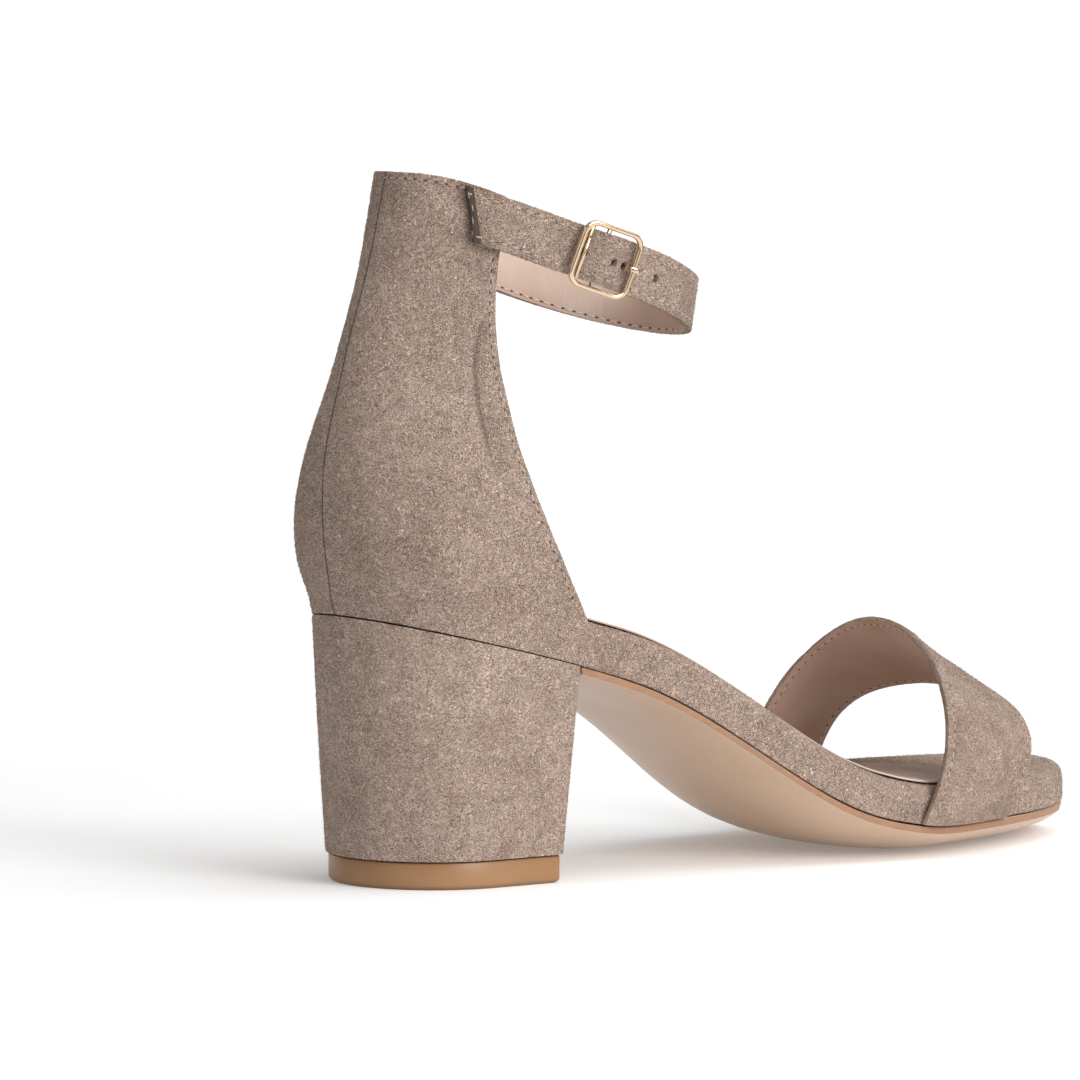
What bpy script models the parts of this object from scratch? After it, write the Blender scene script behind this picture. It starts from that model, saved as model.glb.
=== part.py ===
"""Right shoe of a block heel sandal: a closed heel part with an ankle strap, and a band over the toes.

Metres. +Y runs to the toe, +X to the outer (lateral) side, +Z up. The origin is the centre of the
heel's floor face. A share is a part of the named size that the table or the function says.
"""
import math
from collections import namedtuple

import bmesh
import bpy
from mathutils import Matrix, Vector

# The last: its plan, its heel height and the run of its underside
LAST_LENGTH = 0.2276
SEAT_WIDTH = 0.058
BALL_WIDTH = 0.0795
HEEL_HEIGHT = 0.0654
TOE_SPRING = 0.0006

# The sole unit
SOLE_EDGE = 0.0018
SOLE_SETBACK = 0.0007
SOLE_DOME = 0.0066
SOLE_FULLNESS = 3.0
TREAD_CUT = 0.0009
FOOTBED_THICKNESS = 0.012
FOOTBED_ROUNDING = 0.004
FOOTBED_SETBACK = 0.0012
SOCK_THICKNESS = 0.0006
SOCK_SETBACK = 0.0050
SOCK_LENGTH_SHARE = 0.775
SOCK_NOSE = 0.042

# The heel
HEEL_TOP_LENGTH = 0.053
HEEL_BASE_LENGTH = 0.0465
HEEL_BASE_WIDTH = 0.0525
HEEL_BASE_NOSE = 0.024
HEEL_RAKE = 0.0037
HEEL_CORNER = 0.0022
TOP_PIECE_THICKNESS = 0.0066
TOP_PIECE_SETBACK = 0.0006
TOP_PIECE_BEVEL = 0.0007

# The closed heel part
COUNTER_HEIGHT = 0.1065
COUNTER_WALL = 0.0018
TOPLINE_DROP = 0.0062

# The band over the toes
BAND_WALL = 0.0016
BAND_PROUD = 0.0007
BAND_REAR_SHARE = 0.659
BAND_WIDTH_SHARE = 0.1405
BAND_REAR_CROWN = 0.0483
BAND_FRONT_CROWN = 0.0315
BAND_REAR_LEAN = 0.45
BAND_FRONT_LEAN = 0.40
BAND_REAR_TWIST = 0.0025
BAND_FRONT_TWIST = -0.0050

# The ankle strap, its keeper strap and its buckle
STRAP_WIDTH = 0.0125
STRAP_THICKNESS = 0.0018
STRAP_LEAN = math.radians(8.0)
LOOP_HALF_WIDTH = 0.0285
LOOP_REACH = 0.0655
LOOP_SLOPE = 0.33
STRAP_JOINT_DROP = 0.0074
FREE_END_REACH = 0.0105
FREE_END_SLANT = 0.46
BUCKLE_ALONG = 0.0225
BUCKLE_LENGTH = 0.0154
WIRE_WIDTH = 0.0019
WIRE_DEPTH = 0.0024
BAR_DIAMETER = 0.0018
KEEPER_PLY = 0.0008
KEEPER_WIDTH = 0.010
PRONG_WIDTH = 0.0011
PRONG_THICKNESS = 0.0007
HOLE_DIAMETER = 0.0023
PRONG_HOLE = 0.0054
FREE_HOLES = (-0.0052, 0.0019, 0.0161)

# Touching pieces keep this gap, and no piece is drawn closer than this merging distance
GAP = 0.0003
MERGE = 0.000005

HEEL_BACK = -HEEL_BASE_LENGTH / 2 - HEEL_RAKE
BREAST = HEEL_BACK + HEEL_TOP_LENGTH
BAND_REAR = BAND_REAR_SHARE * LAST_LENGTH
BAND_WIDTH = BAND_WIDTH_SHARE * LAST_LENGTH
SOCK_LENGTH = SOCK_LENGTH_SHARE * LAST_LENGTH
SOLE_LIFT = SOLE_EDGE + SOLE_DOME - TREAD_CUT

OutlineRow = namedtuple("OutlineRow", "along lateral medial")
# along is a share of LAST_LENGTH, lateral and medial are shares of SEAT_WIDTH
SEAT_OUTLINE = (
    OutlineRow(0.0088, 0.184, 0.184),
    OutlineRow(0.0219, 0.280, 0.280),
    OutlineRow(0.0438, 0.374, 0.374),
    OutlineRow(0.0875, 0.470, 0.470),
    OutlineRow(0.1400, 0.504, 0.502),
    OutlineRow(0.2188, 0.509, 0.480),
)
# along is a share of LAST_LENGTH, lateral and medial are shares of BALL_WIDTH
FOREPART_OUTLINE = (
    OutlineRow(0.306, 0.365, 0.312),
    OutlineRow(0.394, 0.390, 0.312),
    OutlineRow(0.481, 0.445, 0.362),
    OutlineRow(0.569, 0.495, 0.440),
    OutlineRow(0.656, 0.516, 0.484),
    OutlineRow(0.722, 0.503, 0.484),
    OutlineRow(0.788, 0.453, 0.460),
    OutlineRow(0.853, 0.388, 0.420),
    OutlineRow(0.919, 0.286, 0.346),
    OutlineRow(0.963, 0.180, 0.262),
    OutlineRow(0.989, 0.086, 0.180),
)
TIP_ACROSS = -0.046

ProfileRow = namedtuple("ProfileRow", "along rise spring dome bed")
# Underside of the last: along is a share of LAST_LENGTH, rise of the heel height above the ball,
# spring of TOE_SPRING, dome of SOLE_DOME and bed of FOOTBED_THICKNESS
PROFILE = (
    ProfileRow(0.000, 1.000, 0.00, 0.26, 1.00),
    ProfileRow(0.0875, 0.915, 0.00, 0.26, 1.00),
    ProfileRow(0.175, 0.832, 0.00, 0.26, 1.00),
    ProfileRow(0.250, 0.756, 0.00, 0.26, 1.00),
    ProfileRow(0.328, 0.660, 0.00, 0.30, 1.03),
    ProfileRow(0.394, 0.532, 0.00, 0.36, 1.06),
    ProfileRow(0.453, 0.386, 0.00, 0.52, 1.06),
    ProfileRow(0.510, 0.240, 0.00, 0.76, 1.02),
    ProfileRow(0.569, 0.110, 0.00, 0.96, 0.96),
    ProfileRow(0.620, 0.045, 0.00, 1.00, 0.90),
    ProfileRow(0.700, 0.000, 0.00, 1.00, 0.84),
    ProfileRow(0.770, 0.000, 0.24, 1.00, 0.81),
    ProfileRow(0.850, 0.000, 0.60, 0.98, 0.82),
    ProfileRow(0.930, 0.000, 0.82, 0.80, 0.84),
    ProfileRow(1.000, 0.000, 1.00, 0.45, 0.86),
)

CounterRow = namedtuple("CounterRow", "height back half nose")
# Level sections of the closed heel part: height is a share of COUNTER_HEIGHT above the seat, and back
# (how far the back seam lies ahead of the seat's), half (half width) and nose (length of the round
# back) are shares of SEAT_WIDTH
COUNTER_SECTIONS = (
    CounterRow(0.000, 0.000, 0.500, 0.552),
    CounterRow(0.038, -0.016, 0.517, 0.471),
    CounterRow(0.085, -0.030, 0.528, 0.398),
    CounterRow(0.169, -0.052, 0.534, 0.378),
    CounterRow(0.263, -0.062, 0.514, 0.440),
    CounterRow(0.329, -0.054, 0.493, 0.485),
    CounterRow(0.394, -0.036, 0.466, 0.550),
    CounterRow(0.488, 0.010, 0.431, 0.690),
    CounterRow(0.582, 0.057, 0.398, 0.860),
    CounterRow(0.667, 0.103, 0.378, 0.900),
    CounterRow(0.761, 0.162, 0.380, 0.830),
    CounterRow(0.845, 0.203, 0.398, 0.790),
    CounterRow(0.939, 0.243, 0.422, 0.785),
    CounterRow(1.000, 0.267, 0.433, 0.793),
)

ThroatRow = namedtuple("ThroatRow", "height front")
# The front edge of the closed heel part: height as above, front is a share of LAST_LENGTH
THROAT = (
    ThroatRow(-0.127, 0.2525),
    ThroatRow(-0.066, 0.2505),
    ThroatRow(-0.019, 0.2410),
    ThroatRow(0.028, 0.2270),
    ThroatRow(0.075, 0.2140),
    ThroatRow(0.122, 0.2020),
    ThroatRow(0.169, 0.1905),
    ThroatRow(0.216, 0.1810),
    ThroatRow(0.263, 0.1725),
    ThroatRow(0.307, 0.1655),
    ThroatRow(0.352, 0.1585),
    ThroatRow(0.441, 0.1500),
    ThroatRow(0.531, 0.1475),
    ThroatRow(0.620, 0.1485),
    ThroatRow(0.711, 0.1500),
    ThroatRow(0.845, 0.1550),
    ThroatRow(1.000, 0.1640),
)

ArchRow = namedtuple("ArchRow", "side rear_across rear_rise front_across front_rise")
# The band from its lateral to its medial foot: across is a share of the outline's half width on that
# side, rise is a share of the crown at that edge
ARCH = (
    ArchRow(1, 1.000, 0.000, 1.000, 0.000),
    ArchRow(1, 1.016, 0.090, 1.035, 0.100),
    ArchRow(1, 1.016, 0.200, 1.060, 0.230),
    ArchRow(1, 0.995, 0.330, 1.070, 0.380),
    ArchRow(1, 0.940, 0.450, 1.050, 0.520),
    ArchRow(1, 0.850, 0.575, 0.975, 0.660),
    ArchRow(1, 0.720, 0.705, 0.840, 0.785),
    ArchRow(1, 0.560, 0.820, 0.660, 0.880),
    ArchRow(1, 0.370, 0.910, 0.440, 0.950),
    ArchRow(1, 0.160, 0.975, 0.200, 0.990),
    ArchRow(-1, 0.080, 1.000, 0.100, 1.000),
    ArchRow(-1, 0.320, 0.980, 0.360, 0.985),
    ArchRow(-1, 0.530, 0.915, 0.590, 0.935),
    ArchRow(-1, 0.700, 0.820, 0.775, 0.850),
    ArchRow(-1, 0.840, 0.705, 0.905, 0.740),
    ArchRow(-1, 0.940, 0.565, 0.990, 0.600),
    ArchRow(-1, 0.995, 0.415, 1.030, 0.445),
    ArchRow(-1, 1.014, 0.265, 1.036, 0.285),
    ArchRow(-1, 1.014, 0.120, 1.024, 0.130),
    ArchRow(-1, 1.000, 0.000, 1.000, 0.000),
)

LoopRow = namedtuple("LoopRow", "across along")
# The ankle strap's inner face between its joint and its buckle: across is a share of LOOP_HALF_WIDTH
# and along a share of LOOP_REACH ahead of the joint
LOOP = (
    LoopRow(-0.840, 0.200),
    LoopRow(-0.970, 0.430),
    LoopRow(-0.930, 0.660),
    LoopRow(-0.700, 0.860),
    LoopRow(-0.330, 0.975),
    LoopRow(0.100, 0.990),
    LoopRow(0.500, 0.900),
    LoopRow(0.800, 0.730),
    LoopRow(0.950, 0.540),
)
BUCKLE_ACROSS = 0.925
BEHIND_BUCKLE = LoopRow(0.825, 0.170)

FinishRow = namedtuple("FinishRow", "colour roughness metallic")
FINISHES = {
    "suede": FinishRow((0.30, 0.235, 0.205, 1.0), 0.95, 0.0),
    "nude_lining": FinishRow((0.68, 0.50, 0.42, 1.0), 0.55, 0.0),
    "nude_sole": FinishRow((0.62, 0.48, 0.38, 1.0), 0.35, 0.0),
    "tan_rubber": FinishRow((0.36, 0.20, 0.11, 1.0), 0.40, 0.0),
    "gilt_metal": FinishRow((0.90, 0.72, 0.52, 1.0), 0.20, 1.0),
}


class Run:
    """A smooth curve through one column of a table, which never swings past its rows."""

    def __init__(self, rows, key, column):
        self.keys = [getattr(row, key) for row in rows]
        self.values = [getattr(row, column) for row in rows]
        chords = []
        for i in range(len(rows) - 1):
            chords.append((self.values[i + 1] - self.values[i]) / (self.keys[i + 1] - self.keys[i]))
        self.slopes = [chords[0]]
        for before, after in zip(chords, chords[1:]):
            level = before * after <= 0.0
            self.slopes.append(0.0 if level else 2.0 * before * after / (before + after))
        self.slopes.append(chords[-1])

    def __call__(self, at):
        at = min(max(at, self.keys[0]), self.keys[-1])
        i = 0
        while i < len(self.keys) - 2 and at > self.keys[i + 1]:
            i += 1
        step = self.keys[i + 1] - self.keys[i]
        t = (at - self.keys[i]) / step
        start = (1 + 2 * t) * (1 - t) ** 2 * self.values[i] + t * (1 - t) ** 2 * step * self.slopes[i]
        end = t * t * (3 - 2 * t) * self.values[i + 1] - t * t * (1 - t) * step * self.slopes[i + 1]
        return start + end


rise_at = Run(PROFILE, "along", "rise")
spring_at = Run(PROFILE, "along", "spring")
dome_at = Run(PROFILE, "along", "dome")
bed_at = Run(PROFILE, "along", "bed")
counter_back = Run(COUNTER_SECTIONS, "height", "back")
counter_half = Run(COUNTER_SECTIONS, "height", "half")
counter_nose = Run(COUNTER_SECTIONS, "height", "nose")
throat_front = Run(THROAT, "height", "front")


def mix(a, b, t):
    return a + (b - a) * t


def ease(t):
    """Runs from 0 to 1 without a kink at either end."""
    t = min(max(t, 0.0), 1.0)
    return t * t * (3.0 - 2.0 * t)


def feather(y):
    """Height of the last's lower edge, where the sole or the heel meets what stands on it."""
    along = (y - HEEL_BACK) / LAST_LENGTH
    return SOLE_LIFT + rise_at(along) * (HEEL_HEIGHT - SOLE_LIFT) + spring_at(along) * TOE_SPRING


def bed_thickness(y):
    return bed_at((y - HEEL_BACK) / LAST_LENGTH) * FOOTBED_THICKNESS


def smooth_path(points, closed, steps):
    """Points along a Catmull-Rom curve through the given ones."""
    count = len(points)
    path = []
    for i in range(count if closed else count - 1):
        if closed:
            a, b, c, d = (points[(i + k) % count] for k in (-1, 0, 1, 2))
        else:
            b, c = points[i], points[i + 1]
            a = points[i - 1] if i > 0 else b - (c - b)
            d = points[i + 2] if i + 2 < count else c + (c - b)
        for step in range(steps):
            t = step / steps
            bend = (c - a) * t + (2 * a - 5 * b + 4 * c - d) * t * t + (3 * b - a - 3 * c + d) * t ** 3
            path.append(b + bend * 0.5)
    if not closed:
        path.append(points[-1].copy())
    return path


class Outline:
    """The last's plan outline, moved outwards by a distance and read side by side."""

    def __init__(self, outwards=0.0):
        lateral = []
        medial = []
        for rows, width in ((SEAT_OUTLINE, SEAT_WIDTH), (FOREPART_OUTLINE, BALL_WIDTH)):
            for row in rows:
                y = HEEL_BACK + row.along * LAST_LENGTH
                lateral.append(Vector((row.lateral * width, y)))
                medial.append(Vector((-row.medial * width, y)))
        back = Vector((0.0, HEEL_BACK))
        tip = Vector((TIP_ACROSS * BALL_WIDTH, HEEL_BACK + LAST_LENGTH))
        ring = smooth_path([back] + lateral + [tip] + medial[::-1], True, 12)
        moved = []
        for i, point in enumerate(ring):
            along = ring[(i + 1) % len(ring)] - ring[i - 1]
            moved.append(point + Vector((along.y, -along.x)).normalized() * outwards)
        low = min(range(len(moved)), key=lambda i: moved[i].y)
        ring = moved[low:] + moved[:low]
        high = max(range(len(ring)), key=lambda i: ring[i].y)
        self.back = ring[0].y
        self.tip = ring[high].y
        self.sides = {1: ring[:high + 1], -1: ([ring[0]] + ring[:high - 1:-1])}

    def x(self, side, y):
        points = self.sides[side]
        if y <= points[0].y:
            return points[0].x
        for a, b in zip(points, points[1:]):
            if a.y <= y <= b.y and b.y > a.y:
                return mix(a.x, b.x, (y - a.y) / (b.y - a.y))
        return points[-1].x


LAST = Outline()
BAND_OUTLINE = Outline(BAND_PROUD)


def finish(name):
    """One material for each sub-part, in the colour and gloss of what it is made of."""
    row = FINISHES[name]
    material = bpy.data.materials.new(name)
    material.use_nodes = True
    shader = material.node_tree.nodes["Principled BSDF"]
    shader.inputs["Base Color"].default_value = row.colour
    shader.inputs["Roughness"].default_value = row.roughness
    shader.inputs["Metallic"].default_value = row.metallic
    return material


def collection(name):
    group = bpy.data.collections.new(name)
    bpy.context.scene.collection.children.link(group)
    return group


def add_object(name, mesh_builder, finish_name, group=None):
    """Turns a bmesh into a named object in the shoe's collection, or in the one given."""
    mesh = bpy.data.meshes.new(name)
    mesh_builder.to_mesh(mesh)
    mesh_builder.free()
    mesh.materials.append(finish(finish_name))
    mesh.shade_smooth()
    mesh.set_sharp_from_angle(angle=math.radians(40.0))
    piece = bpy.data.objects.new(name, mesh)
    (group or SHOE).objects.link(piece)
    return piece


def loft(name, sections, finish_name, cap_start, cap_end):
    """A closed body through rings of points; an end without a cap has shrunk to a line."""
    bm = bmesh.new()
    rings = [[bm.verts.new(point) for point in section] for section in sections]
    count = len(rings[0])
    for near, far in zip(rings, rings[1:]):
        for k in range(count):
            after = (k + 1) % count
            bm.faces.new((near[k], near[after], far[after], far[k]))
    if cap_start:
        bm.faces.new(rings[0][::-1])
    if cap_end:
        bm.faces.new(rings[-1])
    bmesh.ops.remove_doubles(bm, verts=bm.verts, dist=MERGE)
    bmesh.ops.recalc_face_normals(bm, faces=bm.faces)
    return add_object(name, bm, finish_name)


def sheet(name, rows, finish_name, thickness, outside, offset=-1.0):
    """An open sheet through rows of points with a wall; outside is a point that its face looks at."""
    bm = bmesh.new()
    grid = [[bm.verts.new(point) for point in row] for row in rows]
    for near, far in zip(grid, grid[1:]):
        for k in range(len(near) - 1):
            bm.faces.new((near[k], near[k + 1], far[k + 1], far[k]))
    bm.faces.ensure_lookup_table()
    columns = len(rows[0]) - 1
    middle = bm.faces[(len(rows) - 1) // 2 * columns + columns // 2]
    middle.normal_update()
    if middle.normal.dot(outside - middle.calc_center_median()) < 0:
        bmesh.ops.reverse_faces(bm, faces=bm.faces)
    piece = add_object(name, bm, finish_name)
    wall = piece.modifiers.new("wall", "SOLIDIFY")
    wall.thickness = thickness
    wall.offset = offset
    wall.use_even_offset = True
    return piece


def cut(piece, cutter):
    """Cuts one closed piece out of another with a Boolean that stays on the piece."""
    modifier = piece.modifiers.new(cutter.name, "BOOLEAN")
    modifier.operation = "DIFFERENCE"
    modifier.object = cutter
    modifier.solver = "EXACT"


def as_cutter(piece):
    piece.hide_render = True
    piece.display_type = "WIRE"
    return piece


def build_outsole():
    """Domed leather sole from the heel breast to the toe, flattened where it meets the floor."""
    start = BREAST + GAP
    count = 36
    shares = (1.0, 0.8, 0.5, 0.0, -0.5, -0.8, -1.0)
    outline = Outline(-SOLE_SETBACK)
    sections = []
    for i in range(count + 1):
        y = mix(start, outline.tip, math.sin(math.pi / 2 * i / count))
        lateral = outline.x(1, y)
        medial = outline.x(-1, y)
        top = feather(y)
        dome = dome_at((y - HEEL_BACK) / LAST_LENGTH) * SOLE_DOME
        tip = 1.0 if i < count else 0.0
        section = [Vector((medial, y, top)), Vector((lateral, y, top))]
        for share in shares:
            x = mix(medial, lateral, (share + 1) / 2)
            depth = SOLE_EDGE + dome * (1 - abs(share) ** SOLE_FULLNESS) * tip
            section.append(Vector((x, y, max(top - depth, 0.0))))
        sections.append(section)
    loft("outsole", sections, "nude_sole", True, False)


def footbed_setback(y):
    """The footbed lies inside the counter's wall at the heel and nearer the edge in front of it."""
    inside = COUNTER_WALL + 2 * GAP
    mouth = HEEL_BACK + throat_front(THROAT[0].height) * LAST_LENGTH
    clear = mouth + SEAT_WIDTH * 0.1
    return mix(inside, FOOTBED_SETBACK, ease((y - clear) / (SEAT_WIDTH * 0.25)))


def inset_pair(inward):
    """The outline moved in by the heel's and by the forepart's setback and a further distance."""
    return Outline(-COUNTER_WALL - 2 * GAP - inward), Outline(-FOOTBED_SETBACK - inward)


def inset_x(pair, side, y):
    whole = COUNTER_WALL + 2 * GAP - FOOTBED_SETBACK
    share = (footbed_setback(y) - FOOTBED_SETBACK) / whole
    return mix(pair[1].x(side, y), pair[0].x(side, y), share)


def build_footbed():
    """Padded insole with an upright side and a soft round top edge."""
    count = 44
    levels = [(0.0, 0.0, 0.0), (0.0, 1.0, FOOTBED_ROUNDING)]
    for angle in (math.radians(30), math.radians(60), math.radians(90)):
        inward = FOOTBED_ROUNDING * (1 - math.cos(angle))
        levels.append((inward, 1.0, FOOTBED_ROUNDING * (1 - math.sin(angle))))
    pairs = [inset_pair(level[0]) for level in levels]
    sections = []
    for i in range(count + 1):
        share = (1 - math.cos(math.pi * i / count)) / 2
        halves = {1: [], -1: []}
        for side in (1, -1):
            for pair, (_, top_share, below) in zip(pairs, levels):
                y = mix(pair[0].back, pair[1].tip, share)
                x = inset_x(pair, side, y)
                z = feather(y) + GAP + bed_thickness(y) * top_share - below
                halves[side].append(Vector((x, y, z)))
        sections.append(halves[1] + halves[-1][::-1])
    loft("footbed", sections, "suede", False, False)


def build_sock():
    """Thin leather sock on the footbed, from the heel to its round front end under the toe band."""
    count = 40
    pair = inset_pair(SOCK_SETBACK)
    end = HEEL_BACK + SOCK_LENGTH
    sections = []
    for i in range(count + 1):
        y = mix(pair[0].back, end, (1 - math.cos(math.pi * i / count)) / 2)
        bottom = feather(y) + bed_thickness(y) + 2 * GAP
        into_nose = max(0.0, 1 - (end - y) / SOCK_NOSE)
        narrowed = math.sqrt(1 - into_nose**2)
        section = []
        for side, height in ((1, 0.0), (1, SOCK_THICKNESS), (-1, SOCK_THICKNESS), (-1, 0.0)):
            section.append(Vector((inset_x(pair, side, y) * narrowed, y, bottom + height)))
        sections.append(section)
    loft("sock", sections, "nude_lining", False, False)


def heel_ring(level, setback, height):
    """Outline of the heel at a level from 0, the base, to 1, the seat, with rounded breast corners."""
    back = mix(-HEEL_BASE_LENGTH / 2, HEEL_BACK, level) + setback
    front = mix(HEEL_BASE_LENGTH / 2, BREAST, level) - setback
    count = 14
    corner_steps = 4
    ring = []
    for side in (1, -1):
        half = []
        for i in range(count + 1):
            y = mix(back, front - HEEL_CORNER, 1 - math.cos(math.pi / 2 * i / count))
            half.append((y, 0.0))
        for i in range(1, corner_steps + 1):
            turn = math.pi / 2 * i / corner_steps
            y = front - HEEL_CORNER * (1 - math.sin(turn))
            half.append((y, HEEL_CORNER * (1 - math.cos(turn))))
        points = []
        for y, inward in half:
            seat_y = mix(HEEL_BACK, BREAST, (y - back) / (front - back))
            depth = min((y - back) / HEEL_BASE_NOSE, 1.0)
            base = side * (HEEL_BASE_WIDTH / 2 - setback) * math.sqrt(1 - (1 - depth) ** 2)
            x = mix(base, LAST.x(side, seat_y), level)
            points.append(Vector((x - side * inward, y, height(y))))
        ring += points if side == 1 else points[:0:-1]
    return ring


def build_heel():
    """Block heel, round at the back and flat at the breast, on a thick rubber top piece."""
    base_height = TOP_PIECE_THICKNESS + GAP
    count = 8
    sections = []
    for i in range(count + 1):
        level = i / count
        sections.append(heel_ring(level, 0.0, lambda y: mix(base_height, feather(y), level)))
    loft("heel_block", sections, "suede", True, True)
    sections = []
    levels = (
        (TOP_PIECE_BEVEL, 0.0),
        (0.0, TOP_PIECE_BEVEL),
        (0.0, TOP_PIECE_THICKNESS),
    )
    for inward, z in levels:
        sections.append(heel_ring(0.0, TOP_PIECE_SETBACK + inward, lambda y: z))
    loft("top_piece", sections, "tan_rubber", True, True)


def counter_point(side, depth_share, height_share):
    """A point of the counter's outer face: depth_share runs from the back seam to the throat edge."""
    eased = 1 - math.cos(math.pi / 2 * depth_share)
    z = mix(HEEL_HEIGHT, HEEL_HEIGHT + COUNTER_HEIGHT, height_share)
    for _ in range(12):
        level = (z - HEEL_HEIGHT) / COUNTER_HEIGHT
        back = HEEL_BACK + counter_back(level) * SEAT_WIDTH
        front = HEEL_BACK + throat_front(level) * LAST_LENGTH
        y = mix(back, front, eased)
        bottom = feather(y) + GAP
        top = HEEL_HEIGHT + COUNTER_HEIGHT - TOPLINE_DROP * eased ** 1.5
        z = mix(bottom, top, height_share)
    nose = counter_nose(level) * SEAT_WIDTH
    depth = min((y - back) / nose, 1.0)
    x = side * counter_half(level) * SEAT_WIDTH * math.sqrt(1 - (1 - depth) ** 2)
    seat_share = 1 - ease((z - bottom) / COUNTER_HEIGHT * 12)
    return Vector((mix(x, LAST.x(side, y), seat_share), y, z))


def counter_half_width(y, z):
    """Half width of the counter's outer face at a place on its side."""
    level = (z - HEEL_HEIGHT) / COUNTER_HEIGHT
    back = HEEL_BACK + counter_back(level) * SEAT_WIDTH
    depth = min((y - back) / (counter_nose(level) * SEAT_WIDTH), 1.0)
    return counter_half(level) * SEAT_WIDTH * math.sqrt(1 - (1 - depth) ** 2)


def throat_y(z):
    """How far forward the counter's throat edge lies at a height."""
    return HEEL_BACK + throat_front((z - HEEL_HEIGHT) / COUNTER_HEIGHT) * LAST_LENGTH


def build_counter():
    """Closed heel part: one lined wall, open at the top, at the throat and underneath."""
    columns = 16
    rows = 20
    grid = []
    for j in range(rows + 1):
        line = [counter_point(-1, i / columns, j / rows) for i in range(columns, 0, -1)]
        line += [counter_point(1, i / columns, j / rows) for i in range(columns + 1)]
        grid.append(line)
    outside = Vector((0.0, HEEL_BACK - LAST_LENGTH, HEEL_HEIGHT))
    sheet("counter", grid, "suede", COUNTER_WALL, outside)


def band_point(row, along_share):
    """A point of the band's outer face, from its rear edge at 0 to its front edge at 1."""
    base_y = HEEL_BACK + BAND_REAR + BAND_WIDTH * along_share
    across = mix(row.rear_across, row.front_across, along_share)
    base_y += mix(BAND_REAR_TWIST, BAND_FRONT_TWIST, along_share) * ease(-row.side * across)
    base_z = feather(base_y) + GAP
    rise = mix(row.rear_rise, row.front_rise, along_share)
    rise *= mix(BAND_REAR_CROWN, BAND_FRONT_CROWN, along_share)
    lean = mix(BAND_REAR_LEAN, BAND_FRONT_LEAN, along_share)
    return Vector((across * BAND_OUTLINE.x(row.side, base_y), base_y + lean * rise, base_z + rise))


def build_band():
    """Lined band over the toes, open at both ends, whose feet stand on the sole's edge."""
    count = 8
    grid = []
    for i in range(count + 1):
        points = [band_point(row, i / count) for row in ARCH]
        grid.append(smooth_path(points, False, 2))
    sheet("vamp_band", grid, "suede", BAND_WALL, Vector((0.0, BAND_REAR, LAST_LENGTH)))


class StrapPath:
    """The line of the ankle strap's inner face at mid width, measured from the buckle's bar."""

    def __init__(self):
        z = HEEL_HEIGHT + COUNTER_HEIGHT - TOPLINE_DROP - STRAP_JOINT_DROP
        half = STRAP_WIDTH / 2
        y = max(throat_y(z + rise) for rise in (-half, 0.0, half)) + GAP + COUNTER_WALL * 0.5
        start = Vector((COUNTER_WALL - counter_half_width(y, z), y, z))
        self.joint = start
        slope = Vector((0.0, 1.0, -LOOP_SLOPE))
        points = [start]
        for row in LOOP:
            along = row.along * LOOP_REACH
            points.append(Vector((row.across * LOOP_HALF_WIDTH, start.y, start.z)) + slope * along)
        buckle = Vector((BUCKLE_ACROSS * LOOP_HALF_WIDTH, start.y, start.z)) + slope * BUCKLE_ALONG
        points.append(buckle)
        row = BEHIND_BUCKLE
        along = row.along * LOOP_REACH
        points.append(Vector((row.across * LOOP_HALF_WIDTH, start.y, start.z)) + slope * along)
        for back_share in (0.15, 0.6, 1.0):
            y = start.y - back_share * FREE_END_REACH
            z = start.z - LOOP_SLOPE * (y - start.y)
            clear = max(counter_half_width(y, z + rise) for rise in (-half, 0.0, half)) + 2 * GAP
            points.append(Vector((clear, y, z)))
        self.points = smooth_path(points, False, 12)
        self.lengths = [0.0]
        for a, b in zip(self.points, self.points[1:]):
            self.lengths.append(self.lengths[-1] + (b - a).length)
        near = min(range(len(self.points)), key=lambda i: (self.points[i] - buckle).length)
        zero = self.lengths[near]
        self.lengths = [zero - length for length in self.lengths]
        self.front = self.lengths[0]
        self.rear = self.lengths[-1]

    def place(self, ahead):
        """Point, forward direction, width direction and outward direction, ahead of the bar."""
        i = 0
        while i < len(self.points) - 2 and ahead < self.lengths[i + 1]:
            i += 1
        span = self.lengths[i] - self.lengths[i + 1]
        point = self.points[i].lerp(self.points[i + 1], (self.lengths[i] - ahead) / span)
        before = self.points[max(i - 1, 0)]
        after = self.points[min(i + 2, len(self.points) - 1)]
        forward = (before - after).normalized()
        level_out = forward.cross(Vector((0.0, 0.0, 1.0))).normalized()
        upright = level_out.cross(forward)
        lean = STRAP_LEAN * ease((point.y - self.joint.y) / BUCKLE_ALONG)
        width = upright * math.cos(lean) + level_out * math.sin(lean)
        return point, forward, width, forward.cross(width)

    def at(self, ahead, across, outwards):
        point, forward, width, out = self.place(ahead)
        return point + width * across + out * outwards


def hump(ahead):
    """How far the strap rises off its line where it rides over the buckle's bar."""
    reach = BUCKLE_LENGTH / 2
    if abs(ahead) >= reach:
        return 0.0
    return HUMP_HEIGHT * math.cos(math.pi * ahead / (2 * reach)) ** 2


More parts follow.
